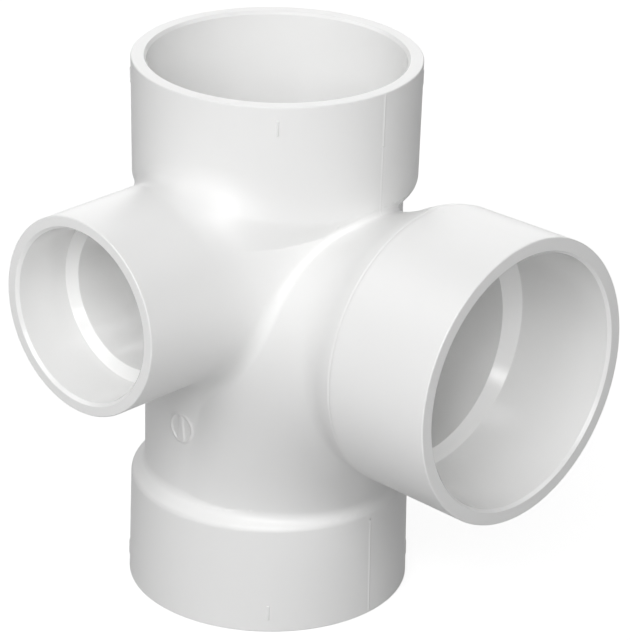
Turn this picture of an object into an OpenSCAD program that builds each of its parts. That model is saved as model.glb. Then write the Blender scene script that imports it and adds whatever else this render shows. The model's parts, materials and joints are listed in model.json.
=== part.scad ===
// Side-inlet sanitary tee: one rigid white PVC moulding, drawn as the sections it is designed from.
// Z is the run axis and starts at the bottom rim, +X is the swept branch, -Y is the side inlet.

/* [Run] */
// Overall height, bottom rim to top rim
overall_h = 197; // [185:1:220]
// Bore of the run and of the branch sweep
bore_d = 77.9; // [70:0.1:80]
// Wall of the barrel between the hubs
barrel_wall = 5.75; // [4.5:0.05:7]

/* [Large sockets] */
// Socket diameter, halfway down its slight taper
socket_d = 89.09; // [88.9:0.01:90]
// Socket depth, mouth to stop
socket_depth = 38.6; // [36:0.1:41]
// Wall of a hub at its mouth
hub_wall = 5.6; // [5:0.1:7.5]
// Radius a hub loses between its mouth and its shoulder
hub_draft = 0.6; // [0.2:0.1:1]
// Length of the conical stop below a socket
stop_len = 4.2; // [3:0.1:6]
// Length of the conical shoulder outside
shoulder_len = 5; // [4:0.1:8]
// Top hub, rim to shoulder
top_hub_len = 43.5; // [42:0.5:46]
// Bottom hub, rim to shoulder
bottom_hub_len = 40; // [38:0.5:44]

/* [Branch] */
// Height of the branch axis over the bottom rim
branch_h = 113; // [108:0.5:118]
// Branch rim from the run axis
branch_reach = 115.7; // [112:0.1:130]
// Centreline radius of the downward sweep
sweep_r = 86; // [80:1:92]
// Wall of the sweep
sweep_wall = 5.65; // [4.5:0.05:5.7]
// Branch hub, rim to shoulder
branch_hub_len = 42; // [40:0.5:45]
// Length of the long shoulder behind the branch hub
branch_shoulder_len = 11; // [8:0.5:14]

/* [Side inlet] */
// Height of the side inlet axis over the bottom rim
side_h = 127.8; // [122:0.1:132]
// Side inlet rim from the run axis
side_reach = 93; // [88:0.5:110]
// Bore of the side inlet
side_bore_d = 52.5; // [48:0.5:54]
// Side socket diameter, halfway down its slight taper
side_socket_d = 60.4; // [60.33:0.01:61]
// Side socket depth, mouth to stop
side_socket_depth = 22; // [19:0.5:24]
// Wall of the side socket
side_wall = 4.7; // [4.2:0.1:6]
// Length of the conical stop in the side inlet
side_stop_len = 2.4; // [1.5:0.1:3.5]
// Radius the side neck gains where it spreads into the run
side_flare = 3; // [1:0.5:4]

/* [Edges] */
// Lead-in chamfer inside every mouth
mouth_chamfer = 1.1; // [0.5:0.1:2]
// Small chamfer outside every mouth
rim_chamfer = 0.6; // [0.3:0.1:1]

/* [Hidden] */
$fn = 96;

bore_r = bore_d / 2;
barrel_r = bore_r + barrel_wall;
sweep_out_r = bore_r + sweep_wall;
socket_r = socket_d / 2;
hub_r = socket_r + hub_wall;
shoulder_r = hub_r - hub_draft;
side_bore_r = side_bore_d / 2;
side_socket_r = side_socket_d / 2;
side_r = side_socket_r + side_wall;

barrel_bottom = bottom_hub_len + shoulder_len;
barrel_top = overall_h - top_hub_len - shoulder_len;
sweep_centre_h = branch_h - sweep_r;
// The branch shoulder ends on the sweep: the sweep's crest is lower there than at the hub.
branch_neck_x = branch_reach - branch_hub_len - branch_shoulder_len;
branch_neck_r = sqrt(pow(sweep_r + sweep_out_r, 2) - pow(sweep_r - branch_neck_x, 2)) - sweep_r;
over = 1;
pvc = [0.94, 0.94, 0.93];

// A frame at each mouth: Z points out of the socket, and the rim lies at Z = 0.
module at_top() translate([0, 0, overall_h]) children();
module at_bottom() rotate([180, 0, 0]) children();
module at_branch() translate([branch_reach, 0, branch_h]) rotate([0, 90, 0]) children();
module at_side() translate([0, -side_reach, side_h]) rotate([90, 0, 0]) children();

// Outside of a large hub, from its rim to the inner end of its shoulder.
module hub_blank(len, shoulder, neck_r) {
    rotate_extrude() polygon([
        [0, 0], [hub_r - rim_chamfer, 0], [hub_r, -rim_chamfer], [shoulder_r, -len],
        [neck_r, -len - shoulder], [0, -len - shoulder]
    ]);
}

// Hollow of a socket: lead-in, straight wall, then a conical stop that closes in at the same
// slope until it meets whatever bore lies behind it.
module socket_hollow(r, depth, stop, inner_r) {
    rotate_extrude() polygon([
        [0, over], [r + mouth_chamfer + over, over], [r, -mouth_chamfer], [r, -depth],
        [0, -depth - stop * r / (r - inner_r)]
    ]);
}

module large_socket() socket_hollow(socket_r, socket_depth, stop_len, bore_r);
module side_socket() socket_hollow(side_socket_r, side_socket_depth, side_stop_len, side_bore_r);

module top_hub_blank() at_top() hub_blank(top_hub_len, shoulder_len, barrel_r);
module bottom_hub_blank() at_bottom() hub_blank(bottom_hub_len, shoulder_len, barrel_r);
module branch_hub_blank() at_branch() hub_blank(branch_hub_len, branch_shoulder_len, branch_neck_r);

// Tube along the sweep: a quarter turn from the run axis up into the branch axis, then straight out.
module sweep_tube(r) {
    translate([sweep_r, 0, sweep_centre_h]) rotate([90, 0, 0]) rotate([0, 0, 90])
        rotate_extrude(angle = 90) translate([sweep_r, 0]) circle(r);
    translate([sweep_r, 0, branch_h]) rotate([0, 90, 0]) cylinder(r = r, h = branch_reach - sweep_r);
}

module run_column(r) translate([0, 0, -over]) cylinder(r = r, h = overall_h + 2 * over);

// The passage of the side inlet, from its stop to the middle of the run.
module side_passage() {
    translate([0, 0, side_h]) rotate([90, 0, 0]) cylinder(r = side_bore_r, h = side_reach);
}

module top_hub() {
    color(pvc) difference() {
        top_hub_blank();
        at_top() large_socket();
        run_column(bore_r);
        side_passage();
    }
}

module bottom_hub() {
    color(pvc) difference() {
        bottom_hub_blank();
        at_bottom() large_socket();
        run_column(bore_r);
        sweep_tube(bore_r);
    }
}

module branch_hub() {
    color(pvc) difference() {
        branch_hub_blank();
        at_branch() large_socket();
        sweep_tube(bore_r);
    }
}

module side_inlet_hub() {
    color(pvc) at_side() difference() {
        rotate_extrude() polygon([
            [0, 0], [side_r - rim_chamfer, 0], [side_r, -rim_chamfer],
            [side_r, -side_socket_depth], [0, -side_socket_depth]
        ]);
        side_socket();
    }
}

module run_barrel() {
    color(pvc) difference() {
        translate([0, 0, barrel_bottom]) cylinder(r = barrel_r, h = barrel_top - barrel_bottom);
        run_column(bore_r);
        sweep_tube(bore_r);
        side_passage();
    }
}

module branch_sweep() {
    color(pvc) difference() {
        sweep_tube(sweep_out_r);
        run_column(barrel_r);
        bottom_hub_blank();
        top_hub_blank();
        branch_hub_blank();
        sweep_tube(bore_r);
        side_passage();
    }
}

// The neck spreads evenly from its stop to the run, and ends where the other walls begin.
module side_inlet_neck() {
    color(pvc) difference() {
        translate([0, 0, side_h]) rotate([90, 0, 0])
            cylinder(r1 = side_r + side_flare, r2 = side_r, h = side_reach - side_socket_depth);
        at_side() side_socket();
        side_passage();
        run_column(barrel_r);
        top_hub_blank();
        sweep_tube(sweep_out_r);
    }
}

top_hub();
bottom_hub();
branch_hub();
side_inlet_hub();
run_barrel();
branch_sweep();
side_inlet_neck();
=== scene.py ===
"""White PVC side-inlet tee: the looks of one moulding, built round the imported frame.

Everything is in metres in the part's own frame: Z runs up the run from the bottom rim,
+X goes out of the swept branch and -Y out of the side inlet.
"""

import json
from math import ceil, cos, hypot, pi, radians, sin, tan

import bmesh
import bpy
import numpy as np
from mathutils import Matrix, Vector


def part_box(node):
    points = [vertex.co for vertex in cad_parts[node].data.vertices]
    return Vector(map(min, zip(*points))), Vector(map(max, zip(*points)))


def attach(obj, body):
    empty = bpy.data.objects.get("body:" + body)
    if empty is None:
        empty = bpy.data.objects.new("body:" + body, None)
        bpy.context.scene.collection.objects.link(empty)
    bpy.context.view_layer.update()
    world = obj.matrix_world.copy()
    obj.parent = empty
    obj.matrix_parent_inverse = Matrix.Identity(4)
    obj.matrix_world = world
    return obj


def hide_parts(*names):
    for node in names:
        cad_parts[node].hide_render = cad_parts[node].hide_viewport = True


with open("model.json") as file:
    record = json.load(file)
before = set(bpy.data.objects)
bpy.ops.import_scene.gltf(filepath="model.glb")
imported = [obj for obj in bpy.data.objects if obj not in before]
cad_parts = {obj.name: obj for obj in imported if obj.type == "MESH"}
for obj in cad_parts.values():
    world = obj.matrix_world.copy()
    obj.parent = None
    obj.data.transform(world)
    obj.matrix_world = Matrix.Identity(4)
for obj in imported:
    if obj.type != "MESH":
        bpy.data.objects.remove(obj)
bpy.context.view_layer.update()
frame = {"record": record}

MM = 0.001
MOUNTS = {mount["name"]: mount for mount in frame["record"]["mounts"]}


# ---------------------------------------------------------------- sizes from the frame

def low(node):
    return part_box(node)[0]


def high(node):
    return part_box(node)[1]


TOP_RIM = high("top_hub").z
HUB_R = (high("top_hub").x - low("top_hub").x) / 2
BARREL_R = (high("run_barrel").x - low("run_barrel").x) / 2
BRANCH_RIM = high("branch_hub").x
BRANCH_Z = (high("branch_hub").z + low("branch_hub").z) / 2
SIDE_RIM = -low("side_inlet_hub").y
SIDE_Z = (high("side_inlet_hub").z + low("side_inlet_hub").z) / 2
SIDE_R = (high("side_inlet_hub").x - low("side_inlet_hub").x) / 2
SWEEP_OUT_R = (high("branch_sweep").y - low("branch_sweep").y) / 2
SOCKET_R = MOUNTS["top_socket"]["dims"]["r_mm"] * MM
SOCKET_DEPTH = TOP_RIM - MOUNTS["top_socket"]["pos_m"][2]
SIDE_SOCKET_R = MOUNTS["side_inlet_socket"]["dims"]["r_mm"] * MM
SIDE_SOCKET_DEPTH = SIDE_RIM + MOUNTS["side_inlet_socket"]["pos_m"][1]

BORE_R = 38.95 * MM
SIDE_BORE_R = 26.25 * MM
SWEEP_R = 86 * MM
SWEEP_CENTRE_Z = BRANCH_Z - SWEEP_R

# Hubs: shoulders, draft and edges
HUB_DRAFT = 0.6 * MM
SHOULDER_R = HUB_R - HUB_DRAFT
SHOULDER_LEN = 5 * MM
TOP_HUB_LEN = TOP_RIM - low("top_hub").z - SHOULDER_LEN
BOTTOM_HUB_LEN = high("bottom_hub").z - SHOULDER_LEN
STOP_LEN = 4.2 * MM
SIDE_STOP_LEN = 2.4 * MM
LEAD_IN = 1.1 * MM
SOCKET_TAPER = 0.15 * MM
RIM_ROUND = 0.5 * MM
EDGE_ROUND = 0.35 * MM

# The branch's hub opens out of the sweep over a longer and fuller flare than the run's hubs
BRANCH_HUB_LEN = 45 * MM
BRANCH_SHOULDER_LEN = 9 * MM
BRANCH_NECK_R = 42.4 * MM

# Where the turned hubs meet the blended middle, and where the middle is parted into three
TOP_CUT = 178 * MM
BOTTOM_CUT = 37 * MM
BRANCH_CUT = 78 * MM
SIDE_CUT = 68 * MM
NECK_CUT = 50.5 * MM
SIDE_NECK_CUT = 51 * MM

# Past those cuts the large hubs go on inside the middle's wall, down to their stops
LINER_R = 45.6 * MM
BRANCH_LINER_R = 37.1 * MM
TOP_LINER_END = TOP_RIM - SOCKET_DEPTH - STOP_LEN
BOTTOM_LINER_END = 43 * MM
BRANCH_LINER_END = 71.5 * MM

# How far the rough shapes run on past a cut
PAST = 24 * MM

# Planes, as (axis, place), that cut the middle; its shading runs on across them
SEAMS = ((0, BRANCH_CUT), (0, NECK_CUT), (1, -SIDE_CUT), (1, -SIDE_NECK_CUT), (2, TOP_CUT),
         (2, BOTTOM_CUT), (2, TOP_LINER_END), (2, BOTTOM_LINER_END), (0, BRANCH_LINER_END))
ON_SEAM = 0.01 * MM

# Parts of the sweep's quarter turn that pass through the liners of two hubs
TURN_IN_BOTTOM_HUB = 0, radians(26)
TURN_IN_BRANCH_HUB = radians(66), radians(90)
BEND_STEPS = 48
BORE_BAR_STEPS = 24

# Blends of the middle
SHOULDER_FILLET = 1.2 * MM
BRANCH_FILLET = 5 * MM
TOP_CORNER = 1.1 * MM
BOTTOM_CORNER = 0.8 * MM
BRANCH_CORNER = 3 * MM
VALLEY_FILLET = 4.5 * MM
VALLEY_WIDE_TO = 130 * MM
NOTCH_FILLET = 1.7 * MM
NOTCH_FROM = 149 * MM
CROTCH_ROUND = 1 * MM
SIDE_BLEND = 9.5 * MM
SIDE_BLEND_TO_BRANCH = 6.5 * MM
SIDE_BLEND_DOWN = 1.5 * MM
SIDE_BLEND_POCKET = 6 * MM

# Parting line left by the two halves of the mould
PARTING_HALF_W = 0.4 * MM
PARTING_H = 0.15 * MM
PARTING_H_ON_BRANCH = 0.05 * MM
BESIDE_PARTING = 1.05 * PARTING_HALF_W

# Fine line where the branch's flare ends and the wall of its hub begins
FLARE_LINE_X = 73.5 * MM
FLARE_LINE_HALF_W = 0.8 * MM
FLARE_LINE_DEPTH = 0.2 * MM

# Marks left by the mould: a round clock with an arrow, and ticks beside the rims
CLOCK_Z = 70.6 * MM
CLOCK_R = 5 * MM
CLOCK_LINE = 0.95 * MM
CLOCK_H = 0.42 * MM
ARROW_TIP_HALF_W = 0.3 * MM
ARROW_FOOT_HALF_W = 1.5 * MM
TICK_FROM_RIM = 4.6 * MM
TICK_LEN = 5.8 * MM
TICK_H = 0.3 * MM
TICK_FLANK = 0.35 * MM

# The mesh round a mark is fine out to this many times the half width of its lines
MARK_MARGIN = 1.5

# Where the top hub's shoulder, the barrel and the sweep run together
NOTCHES = [(42.5 * MM, -14 * MM, 148 * MM), (42.5 * MM, 14 * MM, 148 * MM)]
NOTCH_REACH = 6 * MM
SOFTEN_ROUNDS = 12

# Meshing of the blended middle
COARSE_VOXEL = 1.6 * MM
FINE_VOXEL = 1.3 * MM
FINE_EDGE = 0.34 * MM
FINE_TURN = radians(7)
SETTLE_REACH = 9 * MM
MAX_STEP = 2 * MM
SPIN_STEPS = 288
ROUGH_SEGMENTS = 96
ARC_STEP = radians(12)
CUT_DIST = 1e-8
SAME_PLACE = 1e-7
IN_PLANE = 1e-6
SLOPE_STEP = 0.02 * MM

# Cosines: between two walls that a fillet can join, between two normals that agree, between
# a face that looks into the water way and the slope of its field, and between a wall and a tick
FILLET_COSINES = -0.98, 0.9995
AGREEING = 0.9
INTO_WATER = -0.3
UNDER_TICK = 0.99

# How near its field a vertex has to lie to take its shading, or the parting line, from it
SHADED_BY_FIELD = 0.04 * MM
ON_WALL = 0.05 * MM

# Edges of the turned hubs that turn more than this stay sharp in the shading
SHARP_ANGLE = radians(32)

# Each mouth has a frame of its own: Z points out of the socket and the rim lies at Z = 0.
MOUTH = {
    "top": Matrix.Translation((0, 0, TOP_RIM)),
    "bottom": Matrix.Rotation(pi, 4, "X"),
    "branch": Matrix.Translation((BRANCH_RIM, 0, BRANCH_Z)) @ Matrix.Rotation(pi / 2, 4, "Y"),
    "side": Matrix.Translation((0, -SIDE_RIM, SIDE_Z)) @ Matrix.Rotation(pi / 2, 4, "X"),
}


# ---------------------------------------------------------------- shape of the middle as a field

def round_union(a, b, r):
    """Two bodies joined with a soft fillet of about radius r."""
    u = np.maximum(r - a, 0)
    v = np.maximum(r - b, 0)
    return np.maximum(r, np.minimum(a, b)) - np.sqrt(u * u + v * v)


def round_corner(a, b, r):
    """Two half spaces cut from each other, with the convex edge rounded to radius r."""
    u = np.maximum(r + a, 0)
    v = np.maximum(r + b, 0)
    return np.minimum(-r, np.maximum(a, b)) + np.sqrt(u * u + v * v)


def swell(distance, reach):
    """1 on a line, falling softly to 0 at reach from it."""
    t = np.clip(1 - np.abs(distance) / reach, 0, 1)
    return t * t * (3 - 2 * t)


def slope(field, p):
    """Unit gradient of a field at each point."""
    g = np.empty_like(p)
    for axis in range(3):
        shift = np.zeros(3)
        shift[axis] = SLOPE_STEP
        g[:, axis] = field(p + shift) - field(p - shift)
    return g / (np.linalg.norm(g, axis=1)[:, None] + 1e-12)


def filleted(first, second, radius):
    """Two fields joined with a rolling-ball fillet; its radius may change over the surface."""
    def field(p):
        a = first(p)
        b = second(p)
        ball = radius(p) if callable(radius) else np.full(len(p), radius)
        out = np.minimum(a, b)
        near = (np.maximum(a, b) < 2 * ball) & (out > -2 * ball)
        if near.any():
            r = ball[near]
            c = (slope(first, p[near]) * slope(second, p[near])).sum(1)
            c = np.clip(c, *FILLET_COSINES)
            u = r - a[near]
            v = r - b[near]
            gap = np.sqrt(np.maximum((u * u + v * v - 2 * c * u * v) / (1 - c * c), 0))
            inside = (u > c * v) & (v > c * u)
            out[near] = np.where(inside, r - gap, out[near])
        return out
    return field


def from_run_axis(p):
    return np.hypot(p[:, 0], p[:, 1])


def from_branch_axis(p):
    return np.hypot(p[:, 1], p[:, 2] - BRANCH_Z)


def from_side_axis(p):
    return np.hypot(p[:, 0], p[:, 2] - SIDE_Z)


def sweep_tube(p, r):
    """Tube round the sweep's centreline, straight before and after its quarter turn."""
    u = p[:, 0] - SWEEP_R
    w = p[:, 2] - SWEEP_CENTRE_Z
    turn = np.hypot(np.hypot(u, w) - SWEEP_R, p[:, 1]) - r
    tube = np.where(w < 0, from_run_axis(p) - r, turn)
    return np.where(u > 0, from_branch_axis(p) - r, tube)


def hub_field(rho, depth, length, shoulder, neck_r, corner):
    """Outside of a large hub: drafted wall, rounded corner and conical shoulder."""
    wall = rho - (HUB_R - HUB_DRAFT * depth / length)
    drop = SHOULDER_R - neck_r
    cone = ((rho - SHOULDER_R) * shoulder + (depth - length) * drop) / hypot(shoulder, drop)
    return round_corner(wall, cone, corner)


def run_field(p):
    rho = from_run_axis(p)
    top = hub_field(rho, TOP_RIM - p[:, 2], TOP_HUB_LEN, SHOULDER_LEN, BARREL_R, TOP_CORNER)
    bottom = hub_field(rho, p[:, 2], BOTTOM_HUB_LEN, SHOULDER_LEN, BARREL_R, BOTTOM_CORNER)
    return round_union(rho - BARREL_R, np.minimum(top, bottom), SHOULDER_FILLET)


def side_blend_radius(p):
    """The side neck spreads most into the pocket above the branch, least on its far side."""
    reach = from_side_axis(p) + 1e-9
    to_branch = p[:, 0] / reach
    up = (p[:, 2] - SIDE_Z) / reach
    # 1 halfway between straight up and straight towards the branch
    pocket = np.maximum(to_branch, 0) * np.maximum(up, 0) * 2
    spread = SIDE_BLEND + SIDE_BLEND_TO_BRANCH * to_branch - SIDE_BLEND_DOWN * up
    return spread + SIDE_BLEND_POCKET * pocket


def body_field(p):
    tube = from_side_axis(p) - SIDE_R
    behind = np.maximum(tube, from_run_axis(p) - BORE_R / 2)
    side = np.where(p[:, 1] < 0, tube, behind)
    return round_union(run_field(p), side, side_blend_radius(p))


def branch_field(p):
    rho = from_branch_axis(p)
    hub = hub_field(rho, BRANCH_RIM - p[:, 0], BRANCH_HUB_LEN, BRANCH_SHOULDER_LEN,
                    BRANCH_NECK_R, BRANCH_CORNER)
    return round_union(sweep_tube(p, SWEEP_OUT_R), hub, BRANCH_FILLET)


def valley_radius(p):
    """The valley between barrel and sweep is wide low down and tight in the notch at its top."""
    t = np.clip((p[:, 2] - VALLEY_WIDE_TO) / (NOTCH_FROM - VALLEY_WIDE_TO), 0, 1)
    return VALLEY_FILLET + (NOTCH_FILLET - VALLEY_FILLET) * t


plain_outside = filleted(body_field, branch_field, valley_radius)


def clock_mark(p):
    """Height of the round mould mark under the side inlet: a raised ring round a plain arrow."""
    across = p[:, 0]
    up = p[:, 2] - CLOCK_Z
    ring = swell(np.hypot(across, up) - CLOCK_R, CLOCK_LINE)
    taper = np.clip((CLOCK_R - up) / (2 * CLOCK_R), 0, 1)
    half_w = ARROW_TIP_HALF_W + (ARROW_FOOT_HALF_W - ARROW_TIP_HALF_W) * taper
    arrow = swell(np.maximum(np.abs(across) - half_w, 0), CLOCK_LINE)
    arrow *= swell(np.maximum(np.abs(up) - CLOCK_R, 0), CLOCK_LINE)
    return np.where(p[:, 1] < 0, CLOCK_H * np.maximum(ring, arrow), 0)


def flare_line(p):
    """Depth of the fine line round the branch where its flare ends."""
    line = swell(p[:, 0] - FLARE_LINE_X, FLARE_LINE_HALF_W)
    return np.where(from_branch_axis(p) > BRANCH_NECK_R, FLARE_LINE_DEPTH * line, 0)


def by_flare_line(p):
    """Is the point so near the fine line that its mesh has to be fine as well?"""
    return np.abs(p[:, 0] - FLARE_LINE_X) < MARK_MARGIN * FLARE_LINE_HALF_W


def by_clock(p):
    """Is the point so near the round mark that its mesh has to be fine as well?"""
    away = np.hypot(p[:, 0], p[:, 2] - CLOCK_Z) - CLOCK_R
    return (away < MARK_MARGIN * CLOCK_LINE) & (p[:, 1] < 0) & (p[:, 1] > -2 * BARREL_R)


def by_mark(p):
    return by_clock(p) | by_flare_line(p)


def unmarked(p):
    return np.zeros(len(p), bool)


def outside(p):
    """Outer skin of the middle with its marks."""
    return plain_outside(p) - clock_mark(p) + flare_line(p)


def run_bore(p):
    return from_run_axis(p) - BORE_R


def sweep_bore(p):
    return sweep_tube(p, BORE_R)


def side_bore(p):
    bore = from_side_axis(p) - SIDE_BORE_R
    return np.where(p[:, 1] < 0, bore, np.maximum(bore, from_run_axis(p) - BORE_R / 2))


water_way = filleted(filleted(run_bore, sweep_bore, CROTCH_ROUND), side_bore, CROTCH_ROUND)


# ---------------------------------------------------------------- mesh helpers

def new_object(name, bm):
    mesh = bpy.data.meshes.new(name)
    bm.to_mesh(mesh)
    bm.free()
    mesh.shade_smooth()
    piece = bpy.data.objects.new(name, mesh)
    bpy.context.scene.collection.objects.link(piece)
    return piece


def applied(piece):
    """The piece's mesh with its modifiers applied, as a bmesh; the piece itself is removed."""
    bpy.context.view_layer.update()
    graph = bpy.context.evaluated_depsgraph_get()
    bm = bmesh.new()
    bm.from_object(piece, graph)
    bpy.data.objects.remove(piece)
    return bm


def rod(bm, r, start, end):
    """A closed cylinder between two points, added to bm."""
    start = Vector(start)
    axis = Vector(end) - start
    turn = axis.to_track_quat("Z", "Y").to_matrix().to_4x4()
    pose = Matrix.Translation(start + axis / 2) @ turn
    bmesh.ops.create_cone(bm, cap_ends=True, segments=ROUGH_SEGMENTS, radius1=r, radius2=r,
                          depth=axis.length, matrix=pose)


def bend(bm, r, segments=ROUGH_SEGMENTS, start=0, end=pi / 2, steps=BEND_STEPS):
    """Part of the sweep's quarter turn, as a closed bar of radius r, added to bm."""
    centre = (SWEEP_R, 0, SWEEP_CENTRE_Z)
    known = set(bm.edges)
    ring = bmesh.ops.create_circle(bm, cap_ends=False, radius=r, segments=segments,
                                   matrix=Matrix.Translation((0, 0, SWEEP_CENTRE_Z)))["verts"]
    bmesh.ops.rotate(bm, cent=centre, matrix=Matrix.Rotation(start, 3, "Y"), verts=ring)
    hoop = [e for e in bm.edges if e not in known]
    bmesh.ops.spin(bm, geom=[*ring, *hoop], cent=centre, axis=(0, 1, 0), angle=end - start,
                   steps=steps, use_duplicate=False)
    open_ends = [e for e in bm.edges if e not in known and e.is_boundary]
    bmesh.ops.holes_fill(bm, edges=open_ends, sides=segments)


def remeshed(bm, voxel):
    piece = new_object("rough", bm)
    remesh = piece.modifiers.new("voxels", "REMESH")
    remesh.mode = "VOXEL"
    remesh.voxel_size = voxel
    remesh.adaptivity = 0
    return applied(piece)


def coordinates(bm):
    return np.array([v.co for v in bm.verts], float)


def move_to(bm, co):
    for v, c in zip(bm.verts, co):
        v.co = c


def edge_ends(bm):
    return np.array([(e.verts[0].index, e.verts[1].index) for e in bm.edges])


def settle(bm, field, rounds, relax):
    """Vertices slide evenly over the surface, then settle where the field is zero."""
    co = coordinates(bm)
    free = (np.abs(field(co)) < SETTLE_REACH)[:, None]
    edges = edge_ends(bm)
    count = np.bincount(edges.ravel(), minlength=len(co))[:, None]
    for turn in range(rounds):
        if turn < relax:
            total = np.empty_like(co)
            for axis in range(3):
                total[:, axis] = np.bincount(edges[:, 0], co[edges[:, 1], axis], len(co))
                total[:, axis] += np.bincount(edges[:, 1], co[edges[:, 0], axis], len(co))
            co += 0.5 * (total / count - co) * free
        step = np.clip(field(co), -MAX_STEP, MAX_STEP)
        co -= slope(field, co) * step[:, None] * free
    move_to(bm, co)


def finer(bm, field, marked, rounds=3):
    """Edges are halved where the surface turns sharply or is marked, and settled again."""
    for _ in range(rounds):
        co = coordinates(bm)
        way = slope(field, co)
        ends = edge_ends(bm)
        first, second = co[ends[:, 0]], co[ends[:, 1]]
        length = np.linalg.norm(first - second, axis=1)
        straightness = (way[ends[:, 0]] * way[ends[:, 1]]).sum(1)
        wanted = (straightness < cos(FINE_TURN)) | marked((first + second) / 2)
        wanted &= length > FINE_EDGE
        edges = [e for e, split in zip(bm.edges, wanted) if split]
        bmesh.ops.subdivide_edges(bm, edges=edges, cuts=1, use_grid_fill=True)
        bm.verts.index_update()
        settle(bm, field, rounds=3, relax=1)


def blended(rough_shape, field, marked):
    """A rough closed shape remeshed, settled on its field, and remeshed again more finely."""
    bm = remeshed(rough_shape, COARSE_VOXEL)
    bm.verts.index_update()
    settle(bm, field, rounds=8, relax=5)
    bm = remeshed(bm, FINE_VOXEL)
    bm.verts.index_update()
    settle(bm, field, rounds=10, relax=6)
    finer(bm, field, marked)
    return bm


def cut(bm, point, normal):
    """Everything beyond the plane is cut away."""
    geom = [*bm.verts, *bm.edges, *bm.faces]
    bmesh.ops.bisect_plane(bm, geom=geom, dist=CUT_DIST, plane_co=point, plane_no=normal,
                           clear_outer=True)


def open_loop(bm, point, normal):
    """The open edges that lie in a plane."""
    point, normal = Vector(point), Vector(normal)
    return [e for e in bm.edges if e.is_boundary
            and all(abs((v.co - point).dot(normal)) < IN_PLANE for v in e.verts)]


# ---------------------------------------------------------------- turned pieces: the four hubs

def rounded(corners):
    """Points of a closed outline whose corners (r, z, radius) are rounded by arcs."""
    points = []
    for i, (r, z, radius) in enumerate(corners):
        corner = Vector((r, z))
        if radius == 0:
            points.append(corner)
            continue
        before = (Vector(corners[i - 1][:2]) - corner).normalized()
        after = (Vector(corners[(i + 1) % len(corners)][:2]) - corner).normalized()
        half = before.angle(after) / 2
        run_up = radius / tan(half)
        middle = corner + (before + after).normalized() * hypot(radius, run_up)
        arm = corner + before * run_up - middle
        turn = (corner + after * run_up - middle).angle_signed(arm)
        steps = max(2, ceil(abs(turn) / ARC_STEP))
        for k in range(steps + 1):
            points.append(middle + Matrix.Rotation(turn * k / steps, 2) @ arm)
    return points


def turned(corners, mouth):
    """A closed outline spun round the mouth's own axis."""
    bm = bmesh.new()
    verts = [bm.verts.new((p.x, 0, p.y)) for p in rounded(corners)]
    edges = [bm.edges.new((a, b)) for a, b in zip(verts, verts[1:] + verts[:1])]
    bmesh.ops.spin(bm, geom=[*verts, *edges], cent=(0, 0, 0), axis=(0, 0, 1), angle=2 * pi,
                   steps=SPIN_STEPS, use_merge=True)
    bmesh.ops.recalc_face_normals(bm, faces=bm.faces)
    bmesh.ops.transform(bm, matrix=MOUTH[mouth], verts=bm.verts)
    return bm


def hub_outline(length, outer_end, liner_end, inner_r):
    """Large hub: rim, drafted wall, the step where it meets the middle, and the socket."""
    wall_end = HUB_R - HUB_DRAFT * outer_end / length
    slope_in = (SOCKET_R - BORE_R) / STOP_LEN
    return [
        (HUB_R, 0, RIM_ROUND),
        (wall_end, -outer_end, 0),
        (LINER_R, -outer_end, 0),
        (LINER_R, -liner_end, 0),
        (inner_r, -liner_end, 0),
        (inner_r, -SOCKET_DEPTH - (SOCKET_R - inner_r) / slope_in, 0),
        (SOCKET_R - SOCKET_TAPER, -SOCKET_DEPTH, EDGE_ROUND),
        (SOCKET_R + SOCKET_TAPER, -LEAD_IN, EDGE_ROUND),
        (SOCKET_R + LEAD_IN, 0, EDGE_ROUND),
    ]


def dedupe(corners):
    """Corners that lie on the one before them are left out."""
    kept = []
    for c in corners:
        if not kept or hypot(c[0] - kept[-1][0], c[1] - kept[-1][1]) > SAME_PLACE:
            kept.append(c)
    return kept


def without(bm, name, tool):
    """bm with the closed shape tool cut out of it."""
    piece = new_object(name, bm)
    cutter = new_object(name + "_cutter", tool)
    boolean = piece.modifiers.new("bore", "BOOLEAN")
    boolean.operation = "DIFFERENCE"
    boolean.solver = "EXACT"
    boolean.object = cutter
    result = applied(piece)
    bpy.data.objects.remove(cutter)
    return result


def bore_bar(start, end):
    """The water way of the sweep between two angles of its turn."""
    bm = bmesh.new()
    bend(bm, BORE_R, SPIN_STEPS, start, end, BORE_BAR_STEPS)
    bmesh.ops.recalc_face_normals(bm, faces=bm.faces)
    return bm


def raised(bm, faces, flank, height):
    """A low flat pad stands up from the faces, with sloping flanks."""
    bmesh.ops.inset_region(bm, faces=faces, thickness=flank, depth=height,
                           use_even_offset=True, use_boundary=True)


def rim_ticks(bm, rim_z, inward):
    """Four short ticks beside a rim of the run, halfway between its openings."""
    start_z = rim_z + inward * TICK_FROM_RIM
    end_z = rim_z + inward * (TICK_FROM_RIM + TICK_LEN)
    column = 2 * pi / SPIN_STEPS
    for quarter in range(4):
        angle = (pi / 4 + column / 2) * (1 if quarter % 2 else -1) + (pi if quarter > 1 else 0)
        ray = Vector((cos(angle), sin(angle), 0))

        def in_column(f):
            centre = f.calc_center_median()
            flat = Vector((centre.x, centre.y, 0))
            return (f.normal.dot(ray) > UNDER_TICK and flat.length > BARREL_R
                    and flat.angle(ray) < column / 2)

        for z in (start_z, end_z):
            wall = [f for f in bm.faces if in_column(f)]
            geom = dict.fromkeys(g for f in wall for g in (f, *f.edges, *f.verts))
            bmesh.ops.bisect_plane(bm, geom=list(geom), dist=CUT_DIST, plane_co=(0, 0, z),
                                   plane_no=(0, 0, 1))
        low_z, high_z = sorted((start_z, end_z))
        tick = [f for f in bm.faces
                if in_column(f) and low_z < f.calc_center_median().z < high_z]
        raised(bm, tick, TICK_FLANK, TICK_H)


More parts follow.
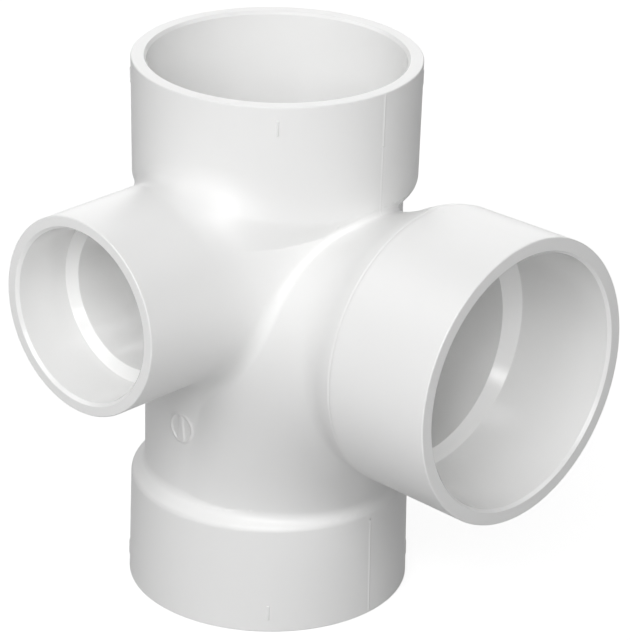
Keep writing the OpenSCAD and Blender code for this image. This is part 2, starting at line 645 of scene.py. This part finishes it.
top_hub = turned(dedupe(hub_outline(TOP_HUB_LEN, TOP_RIM - TOP_CUT, SOCKET_DEPTH + STOP_LEN,
                                    BORE_R)), "top")
rim_ticks(top_hub, TOP_RIM, -1)
bottom_hub = turned(dedupe(hub_outline(BOTTOM_HUB_LEN, BOTTOM_CUT, BOTTOM_LINER_END, BORE_R)),
                    "bottom")
rim_ticks(bottom_hub, 0, 1)
bottom_hub = without(bottom_hub, "bottom_hub", bore_bar(*TURN_IN_BOTTOM_HUB))
branch_hub = turned(dedupe(hub_outline(BRANCH_HUB_LEN, BRANCH_RIM - BRANCH_CUT,
                                       BRANCH_RIM - BRANCH_LINER_END, BRANCH_LINER_R)), "branch")
branch_hub = without(branch_hub, "branch_hub", bore_bar(*TURN_IN_BRANCH_HUB))
side_hub = turned([
    (SIDE_R, 0, RIM_ROUND),
    (SIDE_R, SIDE_CUT - SIDE_RIM, 0),
    (SIDE_BORE_R, SIDE_CUT - SIDE_RIM, 0),
    (SIDE_BORE_R, -SIDE_SOCKET_DEPTH - SIDE_STOP_LEN, EDGE_ROUND),
    (SIDE_SOCKET_R - SOCKET_TAPER / 2, -SIDE_SOCKET_DEPTH, EDGE_ROUND),
    (SIDE_SOCKET_R + SOCKET_TAPER / 2, -LEAD_IN, EDGE_ROUND),
    (SIDE_SOCKET_R + LEAD_IN, 0, EDGE_ROUND),
], "side")


# ---------------------------------------------------------------- the blended middle

def rough_outside():
    bm = bmesh.new()
    rod(bm, BARREL_R, (0, 0, BOTTOM_CUT - PAST), (0, 0, TOP_CUT + PAST))
    rod(bm, SHOULDER_R, (0, 0, TOP_RIM - TOP_HUB_LEN), (0, 0, TOP_CUT + PAST))
    rod(bm, SHOULDER_R, (0, 0, BOTTOM_CUT - PAST), (0, 0, BOTTOM_HUB_LEN))
    rod(bm, SHOULDER_R, (BRANCH_RIM - BRANCH_HUB_LEN, 0, BRANCH_Z),
        (BRANCH_CUT + PAST, 0, BRANCH_Z))
    rod(bm, SWEEP_OUT_R, (SWEEP_R, 0, BRANCH_Z), (BRANCH_CUT + PAST, 0, BRANCH_Z))
    rod(bm, SIDE_R, (0, 0, SIDE_Z), (0, -SIDE_CUT - PAST, SIDE_Z))
    bend(bm, SWEEP_OUT_R)
    bmesh.ops.recalc_face_normals(bm, faces=bm.faces)
    return bm


def rough_water_way():
    bm = bmesh.new()
    rod(bm, BORE_R, (0, 0, BOTTOM_LINER_END - PAST), (0, 0, TOP_LINER_END + PAST))
    rod(bm, BORE_R, (SWEEP_R, 0, BRANCH_Z), (BRANCH_CUT + PAST, 0, BRANCH_Z))
    rod(bm, SIDE_BORE_R, (0, 0, SIDE_Z), (0, -SIDE_CUT - PAST, SIDE_Z))
    bend(bm, BORE_R)
    bmesh.ops.recalc_face_normals(bm, faces=bm.faces)
    return bm


def step_out(bm, loop, axis_point, axis, radius, far):
    """An open inner loop is carried out to the liner's radius, then along the axis to far."""
    axis_point, axis = Vector(axis_point), Vector(axis)
    flat = bmesh.ops.extrude_edge_only(bm, edges=loop)["geom"]
    for v in (g for g in flat if isinstance(g, bmesh.types.BMVert)):
        off = v.co - axis_point
        along = axis * off.dot(axis)
        v.co = axis_point + along + (off - along).normalized() * radius
    rim = [g for g in flat if isinstance(g, bmesh.types.BMEdge)]
    deep = bmesh.ops.extrude_edge_only(bm, edges=rim)["geom"]
    for v in (g for g in deep if isinstance(g, bmesh.types.BMVert)):
        v.co += axis * (far - (v.co - axis_point).dot(axis))


def softened(bm, places, reach):
    """The skin is evened out round a few places where three blends run together."""
    near = [v for v in bm.verts if min((v.co - Vector(p)).length for p in places) < reach]
    for _ in range(SOFTEN_ROUNDS):
        bmesh.ops.smooth_vert(bm, verts=near, factor=0.5, use_axis_x=True, use_axis_y=True,
                              use_axis_z=True)


def middle():
    """Outer skin and water way, joined at the four openings into one closed wall."""
    X, Y, Z = Vector((1, 0, 0)), Vector((0, 1, 0)), Vector((0, 0, 1))
    skin = blended(rough_outside(), outside, by_mark)
    softened(skin, NOTCHES, NOTCH_REACH)
    cuts = {"top": (Z * TOP_CUT, Z), "bottom": (Z * BOTTOM_CUT, -Z),
            "branch": (X * BRANCH_CUT, X), "side": (-Y * SIDE_CUT, -Y)}
    for point, normal in cuts.values():
        cut(skin, point, normal)
    bore = blended(rough_water_way(), water_way, unmarked)
    ends = {"top": (Z * TOP_LINER_END, Z), "bottom": (Z * BOTTOM_LINER_END, -Z),
            "branch": (X * BRANCH_LINER_END, X), "side": (-Y * SIDE_CUT, -Y)}
    for point, normal in ends.values():
        cut(bore, point, normal)
    bmesh.ops.reverse_faces(bore, faces=bore.faces)
    inner = bpy.data.meshes.new("water_way")
    bore.to_mesh(inner)
    bore.free()
    skin.from_mesh(inner)
    axis_at = {"top": (Vector(), Z), "bottom": (Vector(), -Z), "branch": (Z * BRANCH_Z, X)}
    for name, (axis_point, axis) in axis_at.items():
        step_out(skin, open_loop(skin, *ends[name]), axis_point, axis, LINER_R,
                 cuts[name][0].dot(axis))
    for point, normal in cuts.values():
        bmesh.ops.bridge_loops(skin, edges=open_loop(skin, point, normal))
    return skin


def parted(bm, point, normal):
    """The two closed halves of bm on either side of a plane that cuts it in a ring."""
    halves = []
    for side in (1, -1):
        half = bm.copy()
        way = Vector(normal) * side
        cut(half, point, way)
        bmesh.ops.bridge_loops(half, edges=open_loop(half, point, way))
        halves.append(half)
    bm.free()
    return halves


whole = middle()
whole, side_neck = parted(whole, (0, -SIDE_NECK_CUT, 0), (0, -1, 0))
run_barrel, branch_neck = parted(whole, (NECK_CUT, 0, 0), (1, 0, 0))


def parting_ridge(bm):
    """Raises the faint line where the halves of the mould met, along the outside at y = 0."""
    for y in (-PARTING_HALF_W, 0, PARTING_HALF_W):
        geom = [*bm.verts, *bm.edges, *bm.faces]
        bmesh.ops.bisect_plane(bm, geom=geom, dist=CUT_DIST, plane_co=(0, y, 0),
                               plane_no=(0, 1, 0))
    bm.normal_update()
    crest = [v for v in bm.verts if abs(v.co.y) < SAME_PLACE]
    if not crest:
        return
    co = np.array([v.co for v in crest], float)
    on_wall = np.abs(outside(co)) < ON_WALL
    way = slope(outside, co)
    height = np.where(co[:, 0] > NECK_CUT, PARTING_H_ON_BRANCH, PARTING_H)
    # Away from the branch the line fades out where it would stand proud of the rims
    spare = np.maximum(HUB_R - from_run_axis(co), 0)
    height = np.where(co[:, 0] < 0, np.minimum(spare, height), height) * on_wall
    for v, n, h in zip(crest, way, height):
        v.co += Vector(n) * h


def guided_normals(piece):
    """Shading normals of the blended surfaces, straight from their fields."""
    mesh = piece.data
    co = np.empty(len(mesh.vertices) * 3, np.float32)
    mesh.vertices.foreach_get("co", co)
    co = co.reshape(-1, 3).astype(float)
    normals = np.zeros_like(co)
    near_skin = np.abs(outside(co)) < SHADED_BY_FIELD
    near_skin &= np.abs(co[:, 1]) > BESIDE_PARTING
    near_bore = np.abs(water_way(co)) < SHADED_BY_FIELD
    normals[near_skin] = slope(outside, co[near_skin])
    normals[near_bore] = -slope(water_way, co[near_bore])
    # Where the field's slope and the mesh disagree, the mesh's own normal is kept
    own = np.empty(len(mesh.vertices) * 3, np.float32)
    mesh.vertices.foreach_get("normal", own)
    wrong = (normals * own.reshape(-1, 3)).sum(1) < AGREEING
    for axis, at in SEAMS:
        wrong &= np.abs(co[:, axis] - at) > ON_SEAM
    normals[wrong] = 0
    mesh.normals_split_custom_set_from_vertices(normals)


def finished_hub(name, bm):
    piece = new_object(name, bm)
    piece.data.set_sharp_from_angle(angle=SHARP_ANGLE)
    weighted = piece.modifiers.new("even shading", "WEIGHTED_NORMAL")
    weighted.keep_sharp = True
    return piece


pieces = {}
for name, bm, nodes in (("top_hub_socket", top_hub, ["top_hub"]),
                        ("bottom_hub_socket", bottom_hub, ["bottom_hub"]),
                        ("branch_hub_socket", branch_hub, ["branch_hub"]),
                        ("side_inlet_socket", side_hub, ["side_inlet_hub"])):
    if name != "side_inlet_socket":
        parting_ridge(bm)
    pieces[name] = finished_hub(name, bm)
    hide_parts(*nodes)
for name, bm, nodes in (("run_barrel_wall", run_barrel, ["run_barrel"]),
                        ("branch_neck_wall", branch_neck, ["branch_sweep"]),
                        ("side_inlet_neck_wall", side_neck, ["side_inlet_neck"])):
    parting_ridge(bm)
    bmesh.ops.triangulate(bm, faces=[f for f in bm.faces if len(f.verts) > 4])
    pieces[name] = new_object(name, bm)
    guided_normals(pieces[name])
    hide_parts(*nodes)


# ---------------------------------------------------------------- material

OUTSIDE_WHITES = (0.885, 0.885, 0.88, 1), (0.915, 0.915, 0.91, 1)
# The inside whites are lighter than the plastic's own tone. This is painted light that stands in
# for the brightness filling the sockets and the water way.
INSIDE_PAINTED_BRIGHT_WHITES = (0.925, 0.925, 0.92, 1), (0.945, 0.945, 0.94, 1)
PVC_IOR = 1.53

# Noise scales of the plastic's surface, in swells per metre
DRIFT_SCALE = 14
PATCH_SCALE = 34
SCUFF_SCALE = 160
PEEL_SCALE = 210


class Tree:
    """Short ways to add and join nodes in one node tree."""

    def __init__(self, tree):
        self.tree = tree

    def add(self, kind, *links, **values):
        """A node; links go to its first sockets in order, values set its settings or sockets."""
        node = self.tree.nodes.new(kind)
        for name, value in values.items():
            if hasattr(node, name):
                setattr(node, name, value)
            else:
                self.feed(node.inputs[name.replace("_", " ")], value)
        for socket, link in zip(node.inputs, links):
            self.feed(socket, link)
        return node

    def feed(self, socket, value):
        if isinstance(value, bpy.types.NodeSocket):
            self.tree.links.new(value, socket)
        else:
            socket.default_value = value

    def noise(self, place, scale, detail=2, roughness=0.5):
        node = self.add("ShaderNodeTexNoise", Vector=place, Scale=scale, Detail=detail,
                        Roughness=roughness)
        return node.outputs["Fac"]

    def maths(self, operation, *values):
        return self.add("ShaderNodeMath", *values, operation=operation).outputs[0]

    def spread(self, value, least, most, to_least=0, to_most=1):
        node = self.add("ShaderNodeMapRange", value, least, most, to_least, to_most)
        return node.outputs[0]


def moulded_surface():
    """Group: slow drift of tone, soft scuffs and the fine skin that a mould leaves."""
    group = bpy.data.node_groups.new("moulded_surface", "ShaderNodeTree")
    face = group.interface
    for name, value in (("Drift", 0.5), ("Scuffs", 0.5), ("Skin Scale", 900.0)):
        socket = face.new_socket(name, in_out="INPUT", socket_type="NodeSocketFloat")
        socket.default_value = value
    face.new_socket("Place", in_out="INPUT", socket_type="NodeSocketVector")
    for name in ("Tone", "Scuffed", "Height"):
        face.new_socket(name, in_out="OUTPUT", socket_type="NodeSocketFloat")
    t = Tree(group)
    given = t.add("NodeGroupInput").outputs
    place = given["Place"]

    slow = t.noise(place, DRIFT_SCALE, 3)
    drift = t.maths("MULTIPLY", t.spread(slow, 0.3, 0.7, -1, 1), given["Drift"])
    stretched = t.add("ShaderNodeMapping", place, Scale=(1, 1, 0.3)).outputs[0]
    rubbed = t.spread(t.noise(stretched, SCUFF_SCALE, 6, 0.7), 0.56, 0.72)
    patchy = t.spread(t.noise(place, PATCH_SCALE, 2), 0.45, 0.62)
    scuffed = t.maths("MULTIPLY", t.maths("MULTIPLY", rubbed, patchy), given["Scuffs"])
    skin = t.noise(place, given["Skin Scale"], 2, 0.6)
    peel = t.noise(place, PEEL_SCALE, 1)
    height = t.maths("ADD", t.maths("MULTIPLY", skin, 0.35), t.maths("MULTIPLY", peel, 0.65))

    result = t.add("NodeGroupOutput")
    t.feed(result.inputs["Tone"], t.maths("ADD", drift, t.maths("MULTIPLY", scuffed, -0.35)))
    t.feed(result.inputs["Scuffed"], scuffed)
    t.feed(result.inputs["Height"], height)
    return group


def white_plastic(name, surface, whites, drift, scuffs, skin_scale, skin_depth, gloss):
    """White moulded PVC; whites are its deep and clean tone, gloss the roughness of its clean
    and rubbed skin."""
    material = bpy.data.materials.new(name)
    material.use_nodes = True
    t = Tree(material.node_tree)
    shader = t.tree.nodes["Principled BSDF"]
    place = t.add("ShaderNodeTexCoord").outputs["Object"]
    marks = t.add("ShaderNodeGroup", node_tree=surface, Drift=drift, Scuffs=scuffs,
                  Skin_Scale=skin_scale, Place=place).outputs
    tone = t.spread(marks["Tone"], -1, 1)
    white = t.add("ShaderNodeMix", data_type="RGBA")
    t.feed(white.inputs["Factor"], tone)
    t.feed(white.inputs["A"], whites[0])
    t.feed(white.inputs["B"], whites[1])
    t.feed(shader.inputs["Base Color"], white.outputs["Result"])
    t.feed(shader.inputs["Roughness"], t.spread(marks["Scuffed"], 0, 1, *gloss))
    bump = t.add("ShaderNodeBump", Strength=0.5, Distance=skin_depth, Height=marks["Height"])
    t.feed(shader.inputs["Normal"], bump.outputs["Normal"])
    shader.inputs["IOR"].default_value = PVC_IOR
    return material


def facing_water(piece):
    """One flag per face: does it look into the water way or a socket?"""
    mesh = piece.data
    centres = np.empty(len(mesh.polygons) * 3, np.float32)
    mesh.polygons.foreach_get("center", centres)
    centres = centres.reshape(-1, 3).astype(float)
    ways = np.empty(len(mesh.polygons) * 3, np.float32)
    mesh.polygons.foreach_get("normal", ways)
    return (slope(water_way, centres) * ways.reshape(-1, 3)).sum(1) < INTO_WATER


surface = moulded_surface()
outside_pvc = white_plastic("white_pvc", surface, OUTSIDE_WHITES, drift=0.5, scuffs=0.6,
                            skin_scale=900, skin_depth=0.03 * MM, gloss=(0.38, 0.6))
# Copy of the plastic for the faces inside the sockets and the water way. Its glossier skin is
# the core side's own, and its lighter whites are painted light.
inside_pvc = white_plastic("white_pvc_core_side_painted_bright", surface, INSIDE_PAINTED_BRIGHT_WHITES, drift=0.3,
                           scuffs=0.25, skin_scale=1400, skin_depth=0.015 * MM,
                           gloss=(0.17, 0.35))
for piece in pieces.values():
    piece.data.materials.append(outside_pvc)
    piece.data.materials.append(inside_pvc)
    piece.data.polygons.foreach_set("material_index", facing_water(piece).astype(np.int32))
    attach(piece, "root")


# ---------------------------------------------------------------- floor, light and camera

FLOOR_HALF = 6
# The floor as the object sees it, then as the camera does: a pale paper that also glows
FLOOR_BOUNCE = 0.4
PAPER = 0.35
PAPER_GLOW = 0.8
ROOM_LIGHT = 0.02
MIRRORED_WHITE = 0.4
LIT_POINT = Vector((0.03, -0.02, 0.1))
LAMP_DISTANCE = 1.7

# The camera looks at the middle of the run; its azimuth is counted from -Y towards +X
CAMERA_AZIMUTH = radians(42.995)
CAMERA_ELEVATION = radians(24.385)
CAMERA_ROLL = radians(1.439)
CAMERA_DISTANCE = 1242.41 * MM
CAMERA_TO_RIGHT = 15.063 * MM
CAMERA_UPWARDS = -0.728 * MM
CAMERA_LENS = 198.1


def bearing(azimuth, elevation):
    """Unit vector towards an azimuth, counted from -Y towards +X, and an elevation."""
    flat = cos(elevation)
    return Vector((sin(azimuth) * flat, -cos(azimuth) * flat, sin(elevation)))


def seen_directly(t):
    """1 for the rays that look at the background itself, less for those that see it mirrored."""
    rays = t.add("ShaderNodeLightPath").outputs
    mirrored = t.maths("MAXIMUM", rays["Is Glossy Ray"], rays["Is Transmission Ray"])
    dimmed = t.maths("MULTIPLY", mirrored, MIRRORED_WHITE)
    return t.maths("MAXIMUM", rays["Is Camera Ray"], dimmed)


def floor():
    """A white sweep that keeps the soft shadow and gives back only a modest light."""
    bm = bmesh.new()
    bmesh.ops.create_grid(bm, x_segments=1, y_segments=1, size=FLOOR_HALF)
    ground = new_object("floor", bm)
    material = bpy.data.materials.new("white_floor")
    material.use_nodes = True
    t = Tree(material.node_tree)
    t.tree.nodes.clear()
    matt = t.add("ShaderNodeBsdfDiffuse", Color=(*[FLOOR_BOUNCE] * 3, 1)).outputs[0]
    paper = t.add("ShaderNodeBsdfDiffuse", Color=(*[PAPER] * 3, 1)).outputs[0]
    glow = t.add("ShaderNodeEmission", Color=(1, 1, 1, 1), Strength=PAPER_GLOW).outputs[0]
    white = t.add("ShaderNodeAddShader", paper, glow).outputs[0]
    shown = t.add("ShaderNodeMixShader", seen_directly(t), matt, white).outputs[0]
    t.add("ShaderNodeOutputMaterial", shown)
    ground.data.materials.append(material)


def studio_world():
    world = bpy.data.worlds.new("studio")
    world.use_nodes = True
    t = Tree(world.node_tree)
    shade = t.tree.nodes["Background"]
    t.feed(shade.inputs["Color"], (1, 1, 1, 1))
    t.feed(shade.inputs["Strength"], t.spread(seen_directly(t), 0, 1, ROOM_LIGHT, 1))
    bpy.context.scene.world = world


def softbox(name, azimuth, elevation, size, power):
    """A round soft light; its azimuth is counted from -Y towards +X."""
    light = bpy.data.lights.new(name, "AREA")
    light.shape = "DISK"
    light.size = size
    light.energy = power
    way = bearing(radians(azimuth), radians(elevation))
    lamp = bpy.data.objects.new(name, light)
    lamp.location = LIT_POINT + way * LAMP_DISTANCE
    lamp.rotation_euler = (-way).to_track_quat("-Z", "Y").to_euler()
    bpy.context.scene.collection.objects.link(lamp)


def camera():
    back = bearing(CAMERA_AZIMUTH, CAMERA_ELEVATION)
    level = (-back).cross(Vector((0, 0, 1))).normalized()
    upright = level.cross(-back)
    right = level * cos(CAMERA_ROLL) + upright * sin(CAMERA_ROLL)
    up = upright * cos(CAMERA_ROLL) - level * sin(CAMERA_ROLL)
    view = bpy.data.cameras.new("camera")
    view.sensor_width = 36
    view.lens = CAMERA_LENS
    view.clip_start = 0.05
    eye = bpy.data.objects.new("camera", view)
    middle_of_run = Vector((0, 0, TOP_RIM / 2))
    place = (middle_of_run + back * CAMERA_DISTANCE + right * CAMERA_TO_RIGHT
             + up * CAMERA_UPWARDS)
    axes = Matrix((right, up, back)).transposed().to_4x4()
    eye.matrix_world = Matrix.Translation(place) @ axes
    bpy.context.scene.collection.objects.link(eye)
    bpy.context.scene.camera = eye


floor()
studio_world()
softbox("left", -57, 45, 1.0, 3.7)
softbox("near_left", -7, 30, 1.0, 3.7)
softbox("front_left", 18, 50, 1.0, 2.2)
softbox("front", 33, 35, 1.2, 12.0)
softbox("front_right", 53, 30, 1.0, 6.3)
softbox("right", 133, 50, 1.0, 2.6)
softbox("behind", 223, 50, 1.0, 4.2)
softbox("back_wall", 223, 14, 1.4, 9.0)
softbox("glint_left", 10, 5, 0.2, 0.8)
softbox("glint_right", 74, 12, 0.2, 1.2)
camera()
bpy.context.scene.view_settings.view_transform = "Standard"
